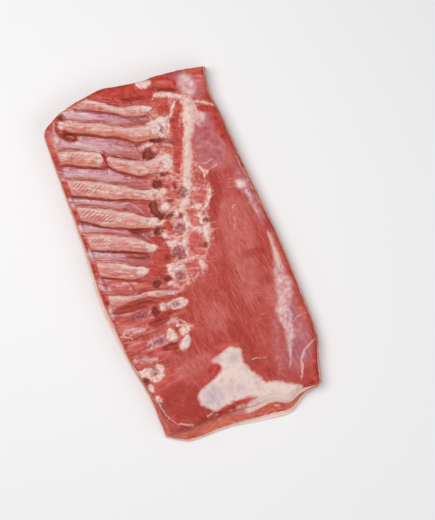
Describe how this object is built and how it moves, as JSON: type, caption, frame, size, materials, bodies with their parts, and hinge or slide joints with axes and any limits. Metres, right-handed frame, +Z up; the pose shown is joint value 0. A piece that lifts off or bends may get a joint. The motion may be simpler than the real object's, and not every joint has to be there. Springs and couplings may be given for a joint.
{
  "type": "raw pork belly",
  "caption": "Whole raw pork belly, rind on, with the ribs pulled out: a long meat slab lying rind down, its rib meat, fat and lean sheet facing up.",
  "frame": {"origin": "on the resting plane, under the middle of the slab's own box", "axes": "+Z up from the rind to the rib side, +Y along the slab towards the shoulder end, +X across it towards the belly edge"},
  "size_m": [0.287, 0.5468, 0.0455],
  "materials": {
    "back_fat": "soft pale back fat under a scraped rind, faintly moist",
    "lean": "moist raw lean with fat, silverskin and muscle grain",
    "seam_fat": "white seam fat, moist"
  },
  "bodies": {
    "root": {"rind_and_back_fat": "back_fat", "lower_lean": "lean", "seam_fat": "seam_fat", "upper_lean": "lean"}
  },
  "joints": []
}
